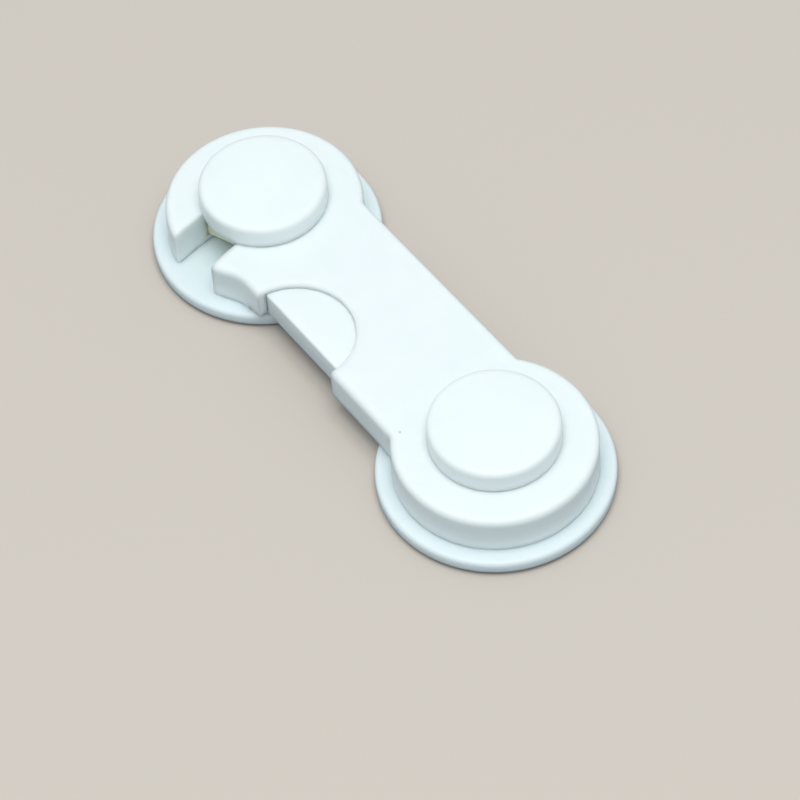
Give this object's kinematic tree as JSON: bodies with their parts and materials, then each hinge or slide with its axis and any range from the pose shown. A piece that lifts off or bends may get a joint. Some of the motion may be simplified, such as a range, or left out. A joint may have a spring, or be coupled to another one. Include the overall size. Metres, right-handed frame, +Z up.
{
  "type": "cabinet safety lock",
  "caption": "Stick-on child lock: a swinging arm pivots on one round base and hooks onto the post of another, held by a sprung bolt that a thumb button draws back.",
  "frame": {"origin": "midway between the two posts, on the face that the pads stick to", "axes": "+X from the catch post to the pivot post, +Y away from the thumb button, +Z up through the posts"},
  "size_m": [0.1224, 0.0464, 0.0178],
  "materials": {
    "base_plastic": "satin",
    "cap_plastic": "satin",
    "arm_plastic": "satin",
    "cover_plastic": "matt",
    "button_plastic": "satin",
    "slide_plastic": "satin",
    "foam_pad": "matt foam",
    "screw_steel": "zinc plated",
    "spring_steel": "drawn wire"
  },
  "bodies": {
    "bases": {"pivot_base": "base_plastic", "pivot_pad": "foam_pad", "pivot_cap": "cap_plastic", "pivot_screw": "screw_steel", "catch_base": "base_plastic", "catch_pad": "foam_pad", "catch_cap": "cap_plastic", "catch_screw": "screw_steel"},
    "arm": {"arm_shell": "arm_plastic", "arm_cover": "cover_plastic", "cover_screws": "screw_steel", "latch_spring": "spring_steel"},
    "button": {"release_button": "button_plastic"},
    "latch": {"latch_slide": "slide_plastic"}
  },
  "joints": [
    {"name": "arm_swing", "type": "hinge", "parent": "bases", "child": "arm", "pos_m": [0.038, 0, 0], "axis": [0, 0, 1], "range_deg": [-180, 0]},
    {"name": "button_press", "type": "slide", "parent": "arm", "child": "button", "axis": [0, 1, 0], "range_m": [0, 0.004], "stiffness_N_per_m": 300, "springref_m": -0.002},
    {"name": "latch_retract", "type": "slide", "parent": "arm", "child": "latch", "axis": [-1, 0, 0], "range_m": [0, 0.0062], "deforming": ["latch_spring"]}
  ],
  "couplings": [
    {"joint": "latch_retract", "follows": "button_press", "ratio": 1.55}
  ]
}
